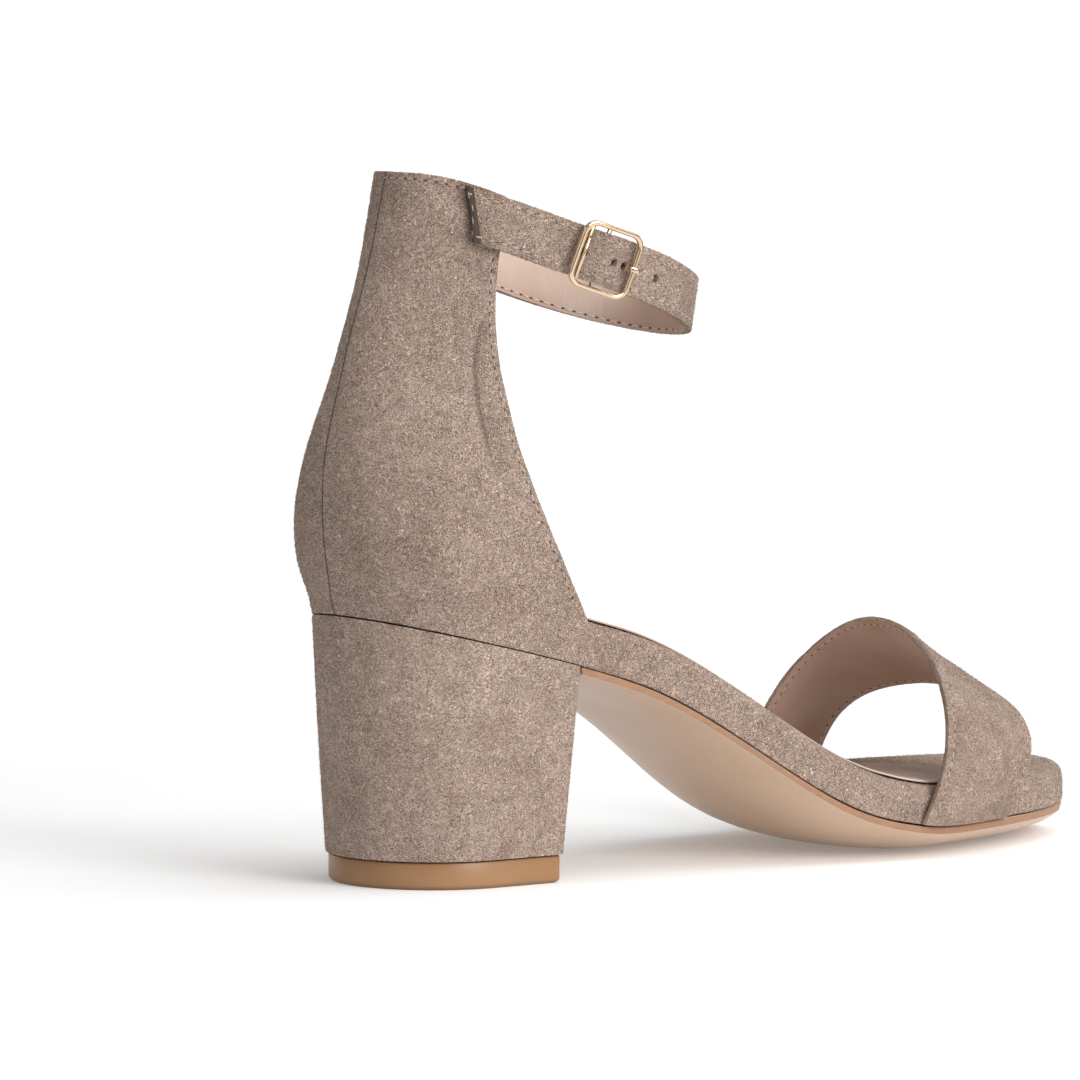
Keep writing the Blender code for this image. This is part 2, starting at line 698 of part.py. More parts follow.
def build_strap():
    """Ankle strap from its joint at the medial throat edge round to the free end on the counter."""
    count = 120
    rows = []
    for i in range(count + 1):
        ahead = mix(PATH.front, PATH.rear, i / count)
        rise = hump(ahead) + STRAP_THICKNESS
        shear = LOOP_SLOPE * (1 - ease((PATH.front - ahead) / STRAP_WIDTH))
        shear -= FREE_END_SLANT * (1 - ease((ahead - PATH.rear) / STRAP_WIDTH))
        row = []
        for share in (-0.5, 0.0, 0.5):
            across = share * STRAP_WIDTH
            row.append(PATH.at(ahead + across * shear, across, rise))
        rows.append(row)
    strap = sheet("ankle_strap", rows, "suede", STRAP_THICKNESS, rows[count // 2][1] + Vector((0, 1, 0)))
    for i, ahead in enumerate(FREE_HOLES + (PRONG_HOLE,)):
        _, forward, _, out = PATH.place(ahead)
        slope = (hump(ahead + GAP) - hump(ahead - GAP)) / (2 * GAP)
        axis = (out - forward * slope).normalized()
        centre = PATH.at(ahead, 0.0, hump(ahead) + STRAP_THICKNESS / 2)
        bm = bmesh.new()
        turn = axis.to_track_quat("Z", "Y").to_matrix().to_4x4()
        bmesh.ops.create_cone(
            bm,
            cap_ends=True,
            segments=12,
            radius1=HOLE_DIAMETER / 2,
            radius2=HOLE_DIAMETER / 2,
            depth=STRAP_THICKNESS * 3,
            matrix=Matrix.Translation(centre) @ turn,
        )
        cut(strap, as_cutter(add_object(f"strap_hole_{i + 1}", bm, "suede", CUTTERS)))


def ribbon(name, profile, place, width, thickness, finish_name):
    """A strip bent along points given as ahead of the bar and outwards, centred on its thickness."""
    rows = []
    for ahead, outwards in profile:
        rows.append([place(ahead, share * width, outwards) for share in (-0.5, 0.5)])
    return sheet(name, rows, finish_name, thickness, place(0.0, 0.0, 1.0), offset=0.0)


def build_keeper():
    """Short strap folded round the buckle's bar, both plies sewn to the lateral throat edge."""
    radius = BAR_DIAMETER / 2 + GAP + KEEPER_PLY / 2
    tail = (KEEPER_PLY + GAP) / 2
    middle = -(COUNTER_WALL / 2 + 2 * GAP)
    reach = BUCKLE_LENGTH / 2
    joint = throat_ahead()
    profile = []
    for side, order in ((-1, 1), (1, -1)):
        rest = middle + side * tail
        climb = (BAR_LEVEL + side * radius - rest) / HUMP_HEIGHT
        straight = [(mix(joint, -reach, share), rest) for share in (0.0, 0.25, 0.5, 0.75)]
        for share in (1.0, 0.8, 0.6, 0.4, 0.2):
            ahead = -reach * share
            straight.append((ahead, rest + climb * hump(ahead)))
        fold = []
        for i in range(6):
            turn = math.pi / 2 * i / 6
            fold.append((radius * math.sin(turn), BAR_LEVEL + side * radius * math.cos(turn)))
        profile += (straight + fold)[::order]
        if side == -1:
            profile.append((radius, BAR_LEVEL))
    keeper = ribbon("buckle_strap", profile, PATH.at, KEEPER_WIDTH, KEEPER_PLY, "suede")
    bm = bmesh.new()
    slot = Vector((radius * 4, PRONG_WIDTH + 2 * GAP, radius * 4))
    bmesh.ops.create_cube(bm, size=1.0, matrix=buckle_matrix() @ Matrix.Diagonal(slot).to_4x4())
    cut(keeper, as_cutter(add_object("prong_slot", bm, "suede", CUTTERS)))


def throat_ahead():
    """Where the counter's lateral throat edge meets the strap's line, measured from the bar."""
    target = throat_y(PATH.joint.z) + 2 * GAP + KEEPER_WIDTH / 2 * LOOP_SLOPE
    best = min(range(400), key=lambda i: abs(PATH.place(-i * 0.0001)[0].y - target))
    return -best * 0.0001


def tube(name, points, radius, cyclic):
    """A wire through the points, with closed ends, made into a welded mesh."""
    curve = bpy.data.curves.new(name, "CURVE")
    curve.dimensions = "3D"
    curve.bevel_depth = radius
    curve.bevel_resolution = 2
    curve.use_fill_caps = not cyclic
    spline = curve.splines.new("POLY")
    spline.points.add(len(points) - 1)
    for place, point in zip(spline.points, points):
        place.co = (*point, 1.0)
    spline.use_cyclic_u = cyclic
    guide = bpy.data.objects.new(name, curve)
    SHOE.objects.link(guide)
    bpy.context.view_layer.update()
    mesh = bpy.data.meshes.new_from_object(guide.evaluated_get(bpy.context.evaluated_depsgraph_get()))
    bpy.data.objects.remove(guide)
    bm = bmesh.new()
    bm.from_mesh(mesh)
    bpy.data.meshes.remove(mesh)
    bmesh.ops.remove_doubles(bm, verts=bm.verts, dist=MERGE)
    bmesh.ops.recalc_face_normals(bm, faces=bm.faces)
    return bm


def buckle_matrix():
    """The buckle's own axes: X ahead, Y across the strap, Z outwards, at the bar."""
    _, forward, width, out = PATH.place(0.0)
    centre = PATH.at(0.0, 0.0, BAR_LEVEL)
    return Matrix.Translation(centre) @ Matrix((forward, width, out)).transposed().to_4x4()


def build_buckle():
    """Rounded square frame of gilt wire, with a staple across it as its bar, made as one casting."""
    half_length = BUCKLE_LENGTH / 2
    half_width = STRAP_WIDTH / 2 + GAP + WIRE_WIDTH / 2
    corner = WIRE_WIDTH * 1.6
    ring = []
    for quarter in range(4):
        sign_x = 1 if quarter in (0, 3) else -1
        sign_y = 1 if quarter < 2 else -1
        for i in range(6):
            turn = math.pi / 2 * (quarter + i / 5)
            x = sign_x * (half_length - corner) + corner * math.cos(turn)
            y = sign_y * (half_width - corner) + corner * math.sin(turn)
            ring.append(Vector((x, y, 0.0)))
    bm = tube("buckle_frame", ring, WIRE_WIDTH / 2, True)
    bmesh.ops.scale(bm, vec=(1.0, 1.0, WIRE_DEPTH / WIRE_WIDTH), verts=bm.verts)
    bmesh.ops.translate(bm, vec=(0.0, 0.0, RAIL_LEVEL - BAR_LEVEL), verts=bm.verts)
    bm.transform(buckle_matrix())
    frame = add_object("buckle_frame", bm, "gilt_metal")
    leg = RAIL_LEVEL - BAR_LEVEL
    turn_in = BAR_DIAMETER * 0.6
    staple = [
        Vector((0.0, half_width, leg)),
        Vector((0.0, half_width, turn_in)),
        Vector((0.0, half_width - turn_in, 0.0)),
        Vector((0.0, turn_in - half_width, 0.0)),
        Vector((0.0, -half_width, turn_in)),
        Vector((0.0, -half_width, leg)),
    ]
    bm = tube("buckle_bar", staple, BAR_DIAMETER / 2, False)
    bm.transform(buckle_matrix())
    bar = as_cutter(add_object("buckle_bar", bm, "gilt_metal", CUTTERS))
    union = frame.modifiers.new("bar", "BOOLEAN")
    union.operation = "UNION"
    union.object = bar
    union.solver = "EXACT"


def build_prong():
    """Flat prong curled round the bar, run under the strap, up through its hole and over the wire."""
    radius = BAR_DIAMETER / 2 + GAP + PRONG_THICKNESS / 2
    profile = []
    for i in range(13):
        turn = math.radians(mix(-50, -300, i / 12))
        profile.append((radius * math.cos(turn), BAR_LEVEL + radius * math.sin(turn)))
    under = 1.5 * GAP + PRONG_THICKNESS / 2
    for share in (0.42, 0.62, 0.80):
        ahead = PRONG_HOLE * share
        profile.append((ahead, min(hump(ahead) - under, BAR_LEVEL + radius * 0.6)))
    face = BUCKLE_LENGTH / 2 - WIRE_WIDTH / 2 - GAP - PRONG_THICKNESS / 2
    over = RAIL_LEVEL + WIRE_DEPTH / 2 + GAP + PRONG_THICKNESS / 2
    middle = hump(PRONG_HOLE) + STRAP_THICKNESS / 2
    profile += [
        (PRONG_HOLE - PRONG_THICKNESS * 0.4, middle - STRAP_THICKNESS * 0.5),
        (PRONG_HOLE, middle),
        (face - PRONG_THICKNESS * 0.1, middle + STRAP_THICKNESS * 0.8),
        (face, over - PRONG_THICKNESS * 1.2),
        (face + PRONG_THICKNESS * 0.6, over - PRONG_THICKNESS * 0.1),
        (BUCKLE_LENGTH / 2, over + PRONG_THICKNESS * 0.2),
        (BUCKLE_LENGTH / 2 + WIRE_WIDTH * 0.4, over + PRONG_THICKNESS * 0.1),
    ]
    axes = buckle_matrix()

    def place(ahead, across, outwards):
        return axes @ Vector((ahead, across, outwards - BAR_LEVEL))

    ribbon("buckle_prong", profile, place, PRONG_WIDTH, PRONG_THICKNESS, "gilt_metal")


# Levels at the buckle, outwards from the strap's inner line
BAR_LEVEL = 0.0002
HUMP_HEIGHT = BAR_LEVEL + BAR_DIAMETER / 2 + 2 * GAP + KEEPER_PLY
RAIL_LEVEL = STRAP_THICKNESS + GAP + WIRE_DEPTH / 2

for old in list(bpy.data.objects):
    bpy.data.objects.remove(old)

SHOE = collection("block_heel_sandal")
CUTTERS = collection("cutters")
PATH = StrapPath()
build_outsole()
build_footbed()
build_sock()
build_heel()
build_counter()
build_band()
build_strap()
build_keeper()
build_buckle()
build_prong()
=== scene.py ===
import math
import random

import bmesh
import bpy
from mathutils import Matrix, Vector, noise
from mathutils.bvhtree import BVHTree
from mathutils.kdtree import KDTree


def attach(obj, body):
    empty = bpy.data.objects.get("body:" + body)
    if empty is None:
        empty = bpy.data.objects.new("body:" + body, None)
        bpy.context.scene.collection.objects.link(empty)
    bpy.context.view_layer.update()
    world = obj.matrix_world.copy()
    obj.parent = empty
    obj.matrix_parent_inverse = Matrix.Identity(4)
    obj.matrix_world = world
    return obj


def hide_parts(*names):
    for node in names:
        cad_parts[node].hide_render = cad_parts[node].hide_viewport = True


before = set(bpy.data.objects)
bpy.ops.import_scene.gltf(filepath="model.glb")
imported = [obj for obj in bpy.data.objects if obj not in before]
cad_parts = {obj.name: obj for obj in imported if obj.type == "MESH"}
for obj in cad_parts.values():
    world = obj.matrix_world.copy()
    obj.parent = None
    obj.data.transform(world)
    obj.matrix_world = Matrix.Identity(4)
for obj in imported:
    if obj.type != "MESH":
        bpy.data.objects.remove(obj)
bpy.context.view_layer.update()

# Heel block: a D-shaped core wrapped in one piece of taupe suede, flat at the breast, and
# lasted under before the rubber top piece is nailed on. The suede's nap shows as short strokes
# on its face and as loose hairs along its outline.


class Value:
    """A node's output, which can be used in arithmetic like a number."""

    def __init__(self, recipe, socket):
        self.recipe = recipe
        self.socket = socket

    def _maths(self, operation, first, second):
        return self.recipe.node("ShaderNodeMath", {"operation": operation}, {0: first, 1: second})

    def __add__(self, other):
        return self._maths("ADD", self, other)

    def __sub__(self, other):
        return self._maths("SUBTRACT", self, other)

    def __rsub__(self, other):
        return self._maths("SUBTRACT", other, self)

    def __mul__(self, other):
        return self._maths("MULTIPLY", self, other)

    def __pow__(self, other):
        return self._maths("POWER", self, other)

    def bigger(self, other):
        return self._maths("MAXIMUM", self, other)

    def smaller(self, other):
        return self._maths("MINIMUM", self, other)

    def size(self):
        return self.recipe.node("ShaderNodeMath", {"operation": "ABSOLUTE"}, {0: self})

    def ramp(self, low, high):
        """0 below low, 1 above high, smooth between them."""
        settings = {"interpolation_type": "SMOOTHSTEP", "clamp": True}
        values = {"Value": self, "From Min": low, "From Max": high}
        return self.recipe.node("ShaderNodeMapRange", settings, values)


class Recipe:
    """One material, built node by node round a Principled shader."""

    def __init__(self, name, **constants):
        self.material = bpy.data.materials.new(name)
        self.material.use_nodes = True
        self.tree = self.material.node_tree
        self.shader = self.tree.nodes["Principled BSDF"]
        for socket, value in constants.items():
            self.shader.inputs[socket.replace("_", " ")].default_value = value

    def node(self, kind, settings=None, values=None, output=None):
        made = self.tree.nodes.new(kind)
        for name, setting in (settings or {}).items():
            setattr(made, name, setting)
        for key, value in (values or {}).items():
            shown = [socket for socket in made.inputs if socket.enabled]
            socket = shown[key] if isinstance(key, int) else next(s for s in shown if s.name == key)
            if isinstance(value, Value):
                self.tree.links.new(value.socket, socket)
            else:
                socket.default_value = value
        shown = [socket for socket in made.outputs if socket.enabled]
        return Value(self, shown[0] if output is None else next(s for s in shown if s.name == output))

    def place(self, stretch=(1.0, 1.0, 1.0), turn=(0.0, 0.0, 0.0)):
        """Object coordinates, turned and stretched."""
        where = self.node("ShaderNodeTexCoord", output="Object")
        if stretch == (1.0, 1.0, 1.0) and turn == (0.0, 0.0, 0.0):
            return where
        return self.node("ShaderNodeMapping", None, {"Vector": where, "Scale": stretch, "Rotation": turn})

    def axes(self, where):
        """The three parts of a place."""
        first = self.node("ShaderNodeSeparateXYZ", None, {0: where})
        return [Value(self, socket) for socket in first.socket.node.outputs]

    def clouds(self, where, scale, detail, roughness, distortion=0.0):
        values = {"Scale": scale, "Detail": detail, "Roughness": roughness, "Distortion": distortion}
        return self.node("ShaderNodeTexNoise", None, {"Vector": where, **values})

    def blend(self, share, first, second):
        values = {"Factor": share, "A": first, "B": second}
        return self.node("ShaderNodeMix", {"data_type": "RGBA"}, values, "Result")

    def bump(self, height, distance, strength):
        values = {"Height": height, "Distance": distance, "Strength": strength}
        return self.node("ShaderNodeBump", None, values)

    def feed(self, **links):
        for socket, value in links.items():
            self.tree.links.new(value.socket, self.shader.inputs[socket.replace("_", " ")])
        return self.material


SUEDE_MIDDLE = (0.390, 0.270, 0.207, 1.0)
SUEDE_LIGHT = (0.740, 0.570, 0.465, 1.0)
SUEDE_DARK = (0.078, 0.044, 0.033, 1.0)
SUEDE_WARM = (0.270, 0.155, 0.112, 1.0)
SUEDE_SHEEN = (0.95, 0.84, 0.76, 1.0)
SUEDE_GLOSS = {"Roughness": 0.95, "Sheen_Weight": 0.18, "Sheen_Roughness": 0.5, "Specular_IOR_Level": 0.12}


def strands(cloth, stretch, turn, scale, level, bend):
    """Thin curly lines, 1 on the line, where a cloud crosses a level."""
    cloud = cloth.clouds(cloth.place(stretch, turn), scale, 1.0, 0.5, bend)
    return 1.0 - (cloud - level).size().ramp(0.01, 0.07)


def suede(name, turn, seam=None, contrast=1.0, lift=0.0):
    """Taupe suede: a short lying nap in strokes, brushed patches, and a few rubbed warmer spots."""
    cloth = Recipe(name, Sheen_Tint=SUEDE_SHEEN, **SUEDE_GLOSS)
    where = cloth.place()
    tips = strands(cloth, (1.0, 1.0, 0.6), turn, 1200.0, 0.50, 1.9)
    gaps = strands(cloth, (0.7, 0.7, 1.0), turn, 1080.0, 0.47, 2.4)
    fine = cloth.clouds(where, 3000.0, 2.0, 0.6)
    uneven = fine.ramp(0.35, 0.55) * 0.5 + 0.5
    patches = cloth.clouds(where, 48.0, 4.0, 0.62, 0.9).ramp(0.38, 0.62)
    brushed = cloth.clouds(where, 170.0, 3.0, 0.6, 1.2).ramp(0.36, 0.72)
    warm = cloth.clouds(where, 75.0, 3.0, 0.55, 0.6).ramp(0.52, 0.70)
    ground = cloth.blend((patches * 0.26 + (0.08 + lift)).bigger(0.0), SUEDE_MIDDLE, SUEDE_LIGHT)
    ground = cloth.blend(brushed * 0.26, ground, SUEDE_DARK)
    ground = cloth.blend(warm * 0.50, ground, SUEDE_WARM)
    # The dark strokes are partly the nap's own darker fibres and partly painted shade in the sunk gaps
    # between them.
    colour = cloth.blend(gaps * uneven * (0.86 * contrast), ground, SUEDE_DARK)
    colour = cloth.blend(tips * uneven * (0.92 * contrast), colour, SUEDE_LIGHT)
    if seam is not None:
        # The seam mask also carries the painted shade in the fold beside the throat.
        colour = cloth.blend(seam(cloth), colour, SUEDE_DARK)
    relief = cloth.bump(tips * 0.5 + fine * 0.4 - gaps * 0.5 + brushed * 0.2, 0.00045, 1.0)
    return cloth.feed(Base_Color=colour, Normal=relief)


def take_shape(node, join=True):
    """A merged copy of a CAD node's mesh, with its triangles paired up into quads."""
    shape = bmesh.new()
    shape.from_mesh(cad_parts[node].data)
    bmesh.ops.remove_doubles(shape, verts=shape.verts, dist=0.000003)
    if join:
        limits = {"angle_face_threshold": math.radians(30), "angle_shape_threshold": math.radians(70)}
        bmesh.ops.join_triangles(shape, faces=shape.faces, **limits)
    shape.normal_update()
    return shape


def flatten(shape):
    """Joins the faces that lie in one plane, so that only real edges are rounded later."""
    limit = math.radians(0.6)
    bmesh.ops.dissolve_limit(shape, angle_limit=limit, verts=shape.verts, edges=shape.edges)


def sharp_edges(shape, degrees):
    limit = math.radians(degrees)
    return [e for e in shape.edges if len(e.link_faces) == 2 and e.calc_face_angle(0.0) > limit]


def round_edges(shape, radius, segments=2, degrees=50.0):
    """A small round on every sharp edge."""
    edges = sharp_edges(shape, degrees)
    options = {"affect": "EDGES", "profile": 0.5, "material": -1, "clamp_overlap": True}
    bmesh.ops.bevel(shape, geom=edges, offset=radius, segments=segments, **options)
    shape.normal_update()


def show(name, shape, finishes, node, replaced, levels=0):
    """Makes a piece of the shoe out of a bmesh, and hides the CAD nodes it replaces."""
    mesh = bpy.data.meshes.new(name)
    shape.to_mesh(mesh)
    shape.free()
    for finish in finishes:
        mesh.materials.append(finish)
    mesh.shade_smooth()
    piece = bpy.data.objects.new(name, mesh)
    bpy.context.scene.collection.objects.link(piece)
    if levels:
        smooth = piece.modifiers.new("smooth", "SUBSURF")
        smooth.levels = levels
        smooth.render_levels = levels
    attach(piece, "root")
    if replaced:
        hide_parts(*replaced)
    return piece


HAIR_COLOURS = {"pale_hair": (0.560, 0.430, 0.345, 1.0), "dark_hair": (0.175, 0.120, 0.093, 1.0)}
NAP_HAIRS = [
    Recipe(name, Base_Color=colour, Roughness=0.9, Specular_IOR_Level=0.1).material
    for name, colour in HAIR_COLOURS.items()
]
HAIR_LENGTH = 0.00070
HAIR_THICK = 0.000065
HAIR_SIZES = (0.6, 1.3)
HAIR_UPRIGHT = 0.7
HAIR_SWAY = 0.8
HAIR_OUT = 0.3
TUFT = 100


def nap(name, shape, napped, node, count, seed):
    """Loose hairs that stand off the suede, each a slender closed spike, which blur its outline."""
    chance = random.Random(seed)
    patches = [loops for loops in shape.calc_loop_triangles() if napped(loops[0].face)]
    sizes = []
    for loops in patches:
        a, b, c = (loop.vert.co for loop in loops)
        sizes.append((b - a).cross(c - a).length)
    hair = bmesh.new()
    cone = {"radius1": HAIR_THICK, "radius2": 0.0, "depth": HAIR_LENGTH}
    bmesh.ops.create_cone(hair, cap_ends=True, segments=3, **cone)
    strand = bpy.data.meshes.new("strand")
    tuft = bpy.data.meshes.new("tuft")
    hairs = bmesh.new()
    roots = chance.choices(patches, weights=sizes, k=count)
    for first in range(0, count, TUFT):
        group = bmesh.new()
        for loops in roots[first : first + TUFT]:
            a, b, c = (loop.vert.co for loop in loops)
            u, v = sorted((chance.random(), chance.random()))
            root = a * u + b * (v - u) + c * (1.0 - v)
            sway = Vector([chance.gauss(0.0, HAIR_SWAY) for axis in range(3)])
            ahead = (loops[0].face.normal * HAIR_UPRIGHT + sway).normalized()
            turn = ahead.to_track_quat("Z", "Y").to_matrix().to_4x4()
            seat = Matrix.Translation(root + ahead * HAIR_LENGTH * HAIR_OUT) @ turn
            hair.to_mesh(strand)
            strand.transform(seat @ Matrix.Scale(chance.uniform(*HAIR_SIZES), 4))
            group.from_mesh(strand)
        for face in group.faces:
            face.material_index = first // TUFT % 2
        group.to_mesh(tuft)
        group.free()
        hairs.from_mesh(tuft)
    hair.free()
    bpy.data.meshes.remove(strand)
    bpy.data.meshes.remove(tuft)
    return show(name, hairs, NAP_HAIRS, node, [])


def heel_side(face):
    return abs(face.normal.z) < 0.8


heel_suede = suede("heel_suede", (0.25, 0.2, 0.0), lift=0.14)
heel = take_shape("heel_block", join=False)
flatten(heel)
round_edges(heel, 0.0005, 3)
nap("heel_nap", heel, heel_side, "heel_block", 16000, 1)
show("heel_wrap", heel, [heel_suede], "heel_block", ["heel_block"])

# Top piece: the tan rubber lift under the heel, moulded, nailed on and trimmed flush, with faint
# streaks round its side, and painted shade along its top rim under the heel and its bottom rim.

RUBBER = (0.275, 0.142, 0.060, 1.0)
RUBBER_PALE = (0.330, 0.182, 0.084, 1.0)
RUBBER_RIM_SHADE = (0.170, 0.088, 0.046, 1.0)
UPPER_RIM = (0.0060, 0.0066)
LOWER_RIM = (0.0004, 0.0014)

rubber = Recipe("tan_rubber", Specular_IOR_Level=0.45)
where = rubber.place()
height = rubber.axes(where)[2]
streaks = rubber.clouds(rubber.place((1.0, 1.0, 3.0)), 60.0, 2.0, 0.5)
specks = rubber.clouds(where, 900.0, 2.0, 0.6)
tone = rubber.blend(streaks.ramp(0.35, 0.7) * 0.35, RUBBER, RUBBER_PALE)
# Painted shade: the lift darkens towards its top rim, where it meets the heel block, and towards its
# bottom rim on the floor.
rim_shade = (height.ramp(*UPPER_RIM) + (1.0 - height.ramp(*LOWER_RIM))).smaller(1.0)
tone = rubber.blend(rim_shade * 0.55, tone, RUBBER_RIM_SHADE)
rubber.feed(
    Base_Color=tone,
    Roughness=specks * 0.12 + 0.32,
    Normal=rubber.bump(specks * 0.5 + streaks * 0.5, 0.00004, 0.6),
)
top_piece = take_shape("top_piece", join=False)
flatten(top_piece)
round_edges(top_piece, 0.0003, 2, 35.0)
show("heel_lift", top_piece, [rubber.material], "top_piece", ["top_piece"])

# Outsole: a domed unit of smooth nude finished leather, with a thin tan edge all round where
# it is cut level with the footbed. It is glued under the forepart and ends at the heel breast.

NUDE = (0.590, 0.420, 0.295, 1.0)
NUDE_DEEP = (0.510, 0.352, 0.240, 1.0)
EDGE_TAN = (0.330, 0.180, 0.105, 1.0)
EDGE_TAN_DARK = (0.200, 0.105, 0.060, 1.0)
UPWARD = 0.6
REARWARD = -0.97

sole_face = Recipe("sole_leather", Coat_Weight=0.12, Coat_Roughness=0.25, Specular_IOR_Level=0.4)
where = sole_face.place()
grain = sole_face.clouds(where, 1400.0, 3.0, 0.6)
cloudy = sole_face.clouds(where, 28.0, 3.0, 0.55)
sole_face.feed(
    Base_Color=sole_face.blend(cloudy.ramp(0.35, 0.75) * 0.5, NUDE, NUDE_DEEP),
    Roughness=cloudy * 0.15 + 0.30,
    Normal=sole_face.bump(grain, 0.00003, 0.4),
)
sole_edge = Recipe("sole_edge", Specular_IOR_Level=0.4)
layers = sole_edge.clouds(sole_edge.place((1.0, 1.0, 5.0)), 260.0, 3.0, 0.6)
sole_edge.feed(
    Base_Color=sole_edge.blend(layers.ramp(0.35, 0.7) * 0.3 + 0.6, EDGE_TAN_DARK, EDGE_TAN),
    Roughness=layers * 0.2 + 0.38,
    Normal=sole_edge.bump(layers, 0.00005, 0.5),
)


def at_the_rim(face):
    """Side faces that meet the top, apart from the one at the heel breast."""
    beside = [other for edge in face.edges for other in edge.link_faces if other != face]
    meets_top = any(other.normal.z > UPWARD for other in beside)
    return meets_top and face.normal.z < UPWARD and face.normal.y > REARWARD


sole = take_shape("outsole")
for face in sole.faces:
    face.material_index = int(at_the_rim(face))
round_edges(sole, 0.0004)
show("outsole_unit", sole, [sole_face.material, sole_edge.material], "outsole", ["outsole"], 1)

# Footbed: a padded insole wrapped in the same suede, pulled round its soft top edge and lasted
# under. It swells a little where neither the heel nor the band holds it.

BAND_REACH = (0.116, 0.160)
SWELL = 0.0008
SWELL_FADE = 0.006
HEEL_FRONT = 0.036
HEEL_FADE = 0.010


def refine(shape, levels):
    """The same shape with its faces divided and rounded between its edges."""
    mesh = bpy.data.meshes.new("rough")
    shape.to_mesh(mesh)
    shape.free()
    rough = bpy.data.objects.new("rough", mesh)
    bpy.context.scene.collection.objects.link(rough)
    smooth = rough.modifiers.new("smooth", "SUBSURF")
    smooth.levels = levels
    smooth.render_levels = levels
    smooth.boundary_smooth = "PRESERVE_CORNERS"
    seen = rough.evaluated_get(bpy.context.evaluated_depsgraph_get())
    fine = bmesh.new()
    fine.from_mesh(seen.to_mesh())
    seen.to_mesh_clear()
    bpy.data.objects.remove(rough)
    bpy.data.meshes.remove(mesh)
    fine.normal_update()
    return fine


def roughen(shape, amount, size):
    """Small unevenness of soft material, pushed in and out along the normals."""
    shape.normal_update()
    for vert in shape.verts:
        swell = noise.noise(vert.co / size) * 0.6 + noise.noise(vert.co / (size * 0.37)) * 0.4
        vert.co += vert.normal * swell * amount * 0.5
    shape.normal_update()


def part_way(value, start, length):
    """How far a value has come along a stretch, from 0 to 1."""
    return min(max((value - start) / length, 0.0), 1.0)


def footbed_napped(face):
    return face.normal.z > -0.3 and face.calc_center_median().y > 0.03


footbed_suede = suede("footbed_suede", (0.0, 0.9, 0.3), contrast=1.1, lift=-0.12)
footbed = take_shape("footbed")
round_edges(footbed, 0.0004)
footbed = refine(footbed, 2)
for vert in footbed.verts:
    clear = max(BAND_REACH[0] - vert.co.y, vert.co.y - BAND_REACH[1], 0.0)
    outwards = Vector((vert.normal.x, vert.normal.y, 0.0))
    if vert.normal.z > -0.5:
        free = part_way(vert.co.y, HEEL_FRONT, HEEL_FADE)
        vert.co += outwards * SWELL * min(clear / SWELL_FADE, 1.0) * free
footbed.normal_update()
roughen(footbed, 0.00035, 0.012)
nap("footbed_nap", footbed, footbed_napped, "footbed", 14000, 2)
footbed_ground = BVHTree.FromBMesh(footbed)
footbed_piece = show("footbed_wrap", footbed, [footbed_suede], "footbed", ["footbed"])

# Sock: thin smooth nude lining leather, cut a little inside the footbed's outline and glued
# down on it. Its front end lies near the ball and sweeps forward to the outer side.

LINING = (0.540, 0.430, 0.368, 1.0)
LINING_DEEP = (0.430, 0.262, 0.186, 1.0)
SOCK_TURN = (0.088, 0.125)
SOCK_SWEEP = Vector((0.0040, 0.0060))
ABOVE = Vector((0.0, 0.0, 0.01))
DOWN = Vector((0.0, 0.0, -1.0))


def lining_leather(name, tint=0.0):
    """Smooth nude lining leather with a fine pore grain and slight creasing."""
    skin = Recipe(name, Specular_IOR_Level=0.35)
    where = skin.place()
    pores = skin.clouds(where, 2200.0, 3.0, 0.65)
    creases = skin.clouds(skin.place((1.0, 1.0, 0.25)), 420.0, 3.0, 0.6, 1.2)
    wide = skin.clouds(where, 45.0, 2.0, 0.5)
    tone = skin.blend(wide.ramp(0.3, 0.75) * 0.55 + tint, LINING, LINING_DEEP)
    tone = skin.blend(pores.ramp(0.5, 0.75) * 0.12, tone, LINING_DEEP)
    return skin.feed(
        Base_Color=tone,
        Roughness=creases * 0.2 + 0.58,
        Normal=skin.bump(pores * 0.15 + creases * 0.85, 0.00030, 0.7),
    )


def footbed_under(place):
    return footbed_ground.ray_cast(place + ABOVE, DOWN, 0.03)[0]


sock_leather = lining_leather("sock_leather")
sock = take_shape("sock")
round_edges(sock, 0.0002)
sock = refine(sock, 2)
for vert in sock.verts:
    share = part_way(vert.co.y, SOCK_TURN[0], SOCK_TURN[1] - SOCK_TURN[0])
    before = footbed_under(vert.co)
    vert.co.x += SOCK_SWEEP.x * share * share
    vert.co.y += SOCK_SWEEP.y * share * share
    after = footbed_under(vert.co)
    if before is not None and after is not None:
        vert.co.z += after.z - before.z
sock.normal_update()
show("sock_lining", sock, [sock_leather], "sock", ["sock"])

# Counter: the closed heel part, suede outside and nude leather inside, sewn down the centre
# back, with a top-stitched top line and throat edge and a soft fold beside the throat, darkened with
# painted shade.

THREAD = (0.440, 0.345, 0.285, 1.0)
THREAD_SHADOW = (0.075, 0.045, 0.033, 1.0)
LINING_THREAD = (0.640, 0.500, 0.410, 1.0)
FOLD_FRONT = -0.0005
FOLD_LEVEL = 0.1128
FOLD_BEND = 9.0
FOLD = (
    (0.0188, 0.0028, 0.1339),
    (0.0202, 0.0011, 0.1268),
    (0.0225, 0.0000, 0.1198),
    (0.0251, -0.0005, 0.1127),
    (0.0271, 0.0002, 0.1068),
    (0.0285, 0.0015, 0.1008),
)
COUNTER_MIDDLE = (0.0, 0.012, 0.0)
COUNTER_HEM = 0.0016
COUNTER_FOOT = 0.070
LEVEL = (1.0, 1.0, 0.0)
PULL_DEPTH = 0.0002
PULL_WIDTH = 0.0008
NEEDLE_REACH = 0.0015
HOLE_RISE = 0.00006


